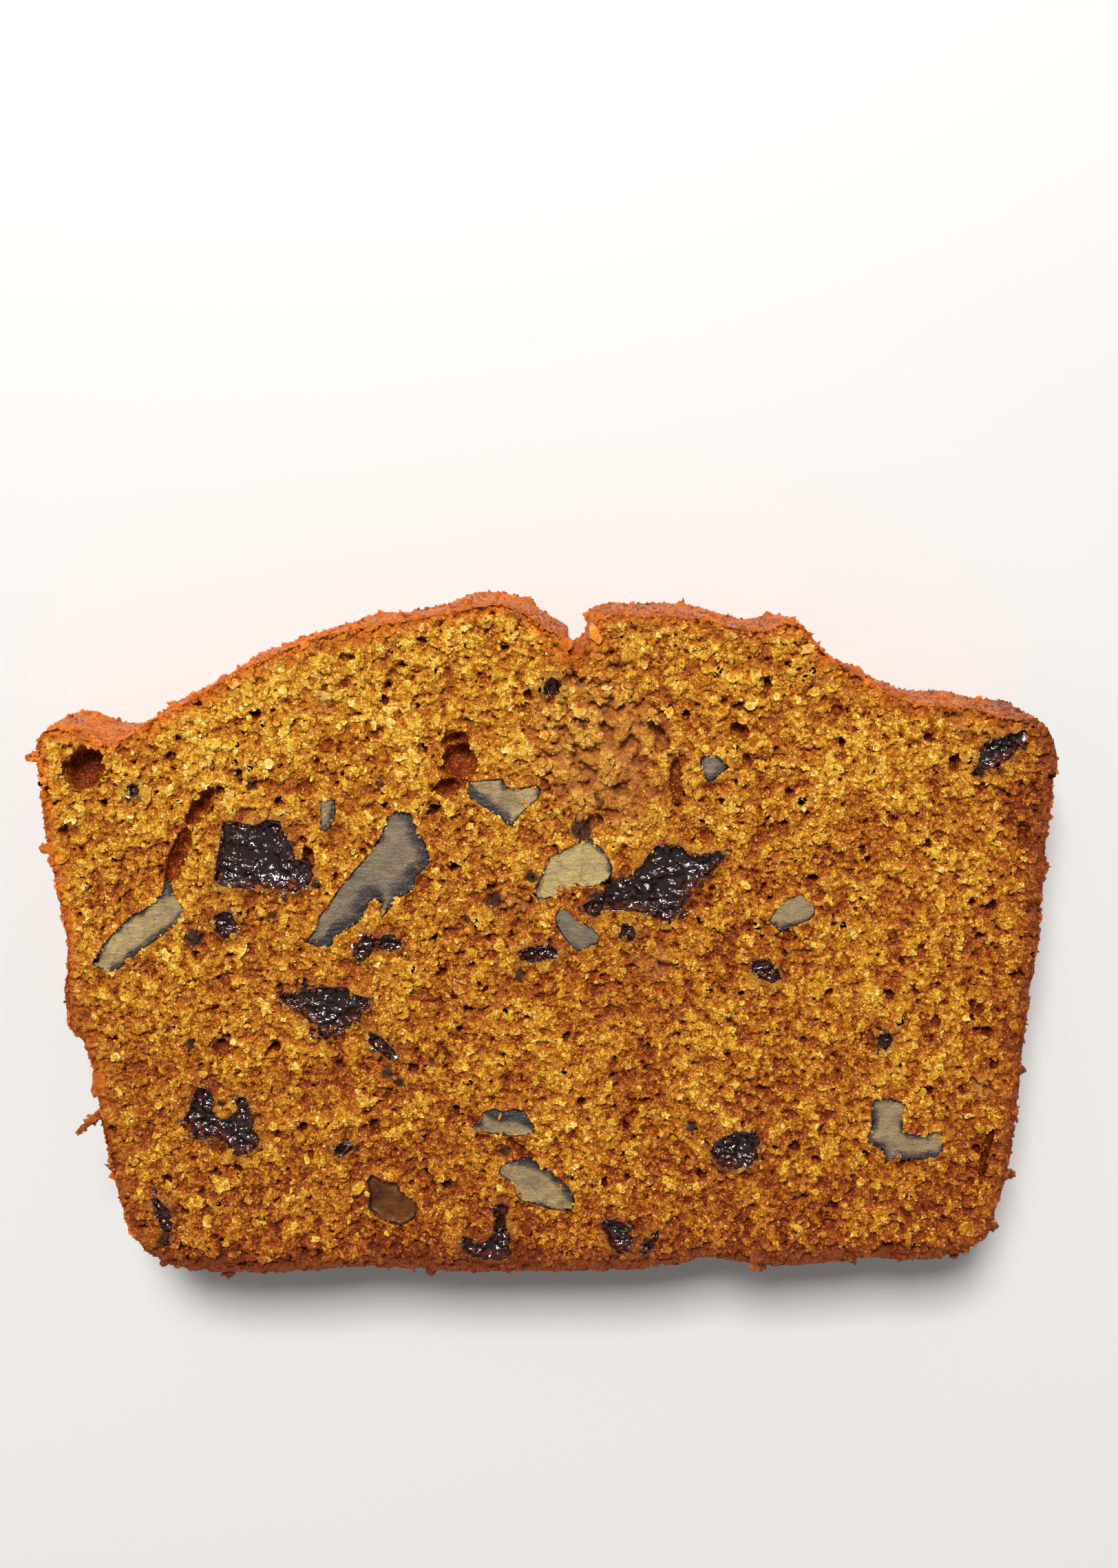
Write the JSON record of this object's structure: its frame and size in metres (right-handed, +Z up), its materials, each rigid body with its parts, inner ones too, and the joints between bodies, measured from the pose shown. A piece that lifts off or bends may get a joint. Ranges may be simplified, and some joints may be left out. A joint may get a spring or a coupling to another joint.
{
  "type": "pumpkin bread slice",
  "caption": "Slice of pumpkin loaf bread with walnut and dried prune pieces in an open crumb, lying on its rear cut face.",
  "frame": {"origin": "bottom centre of the bounding box, on the rear cut face that the slice lies on", "axes": "+X across the slice's width, +Y from its bottom crust to its domed top crust, +Z up through its thickness to the shown cut face"},
  "size_m": [0.1172, 0.0804, 0.018],
  "materials": {
    "crumb": "orange-yellow moist crumb with ragged pores, and an orange-brown baked crust round its edge",
    "walnut": "cut walnut flesh, tan to grey, with dark brown-blue skin along its rim",
    "prune": "wet wrinkled dried fruit, almost black purple, very glossy",
    "amber_fruit": "smooth translucent brown-amber piece of soft fruit"
  },
  "bodies": {
    "root": {"amber_fruit": "amber_fruit", "crumb": "crumb", "prune_bit_centre": "prune", "prune_bit_dark": "prune", "prune_bit_left": "prune", "prune_bit_long": "prune", "prune_bit_low": "prune", "prune_bit_middle": "prune", "prune_bit_pair": "prune", "prune_bit_sliver": "prune", "prune_bit_smear": "prune", "prune_bit_speck": "prune", "prune_bit_stain": "prune", "prune_bit_top": "prune", "prune_bit_upper": "prune", "prune_bottom": "prune", "prune_corner": "prune", "prune_fold": "prune", "prune_hook": "prune", "prune_large": "prune", "prune_lens": "prune", "prune_oval": "prune", "prune_rear_1": "prune", "prune_rear_2": "prune", "prune_rear_3": "prune", "prune_rear_4": "prune", "prune_square": "prune", "walnut_bottom": "walnut", "walnut_chip": "walnut", "walnut_grey": "walnut", "walnut_hook": "walnut", "walnut_left": "walnut", "walnut_long": "walnut", "walnut_low": "walnut", "walnut_middle": "walnut", "walnut_rear_1": "walnut", "walnut_rear_2": "walnut", "walnut_rear_3": "walnut", "walnut_rear_4": "walnut", "walnut_rear_5": "walnut", "walnut_right": "walnut", "walnut_under": "walnut", "walnut_upper": "walnut"}
  },
  "joints": []
}
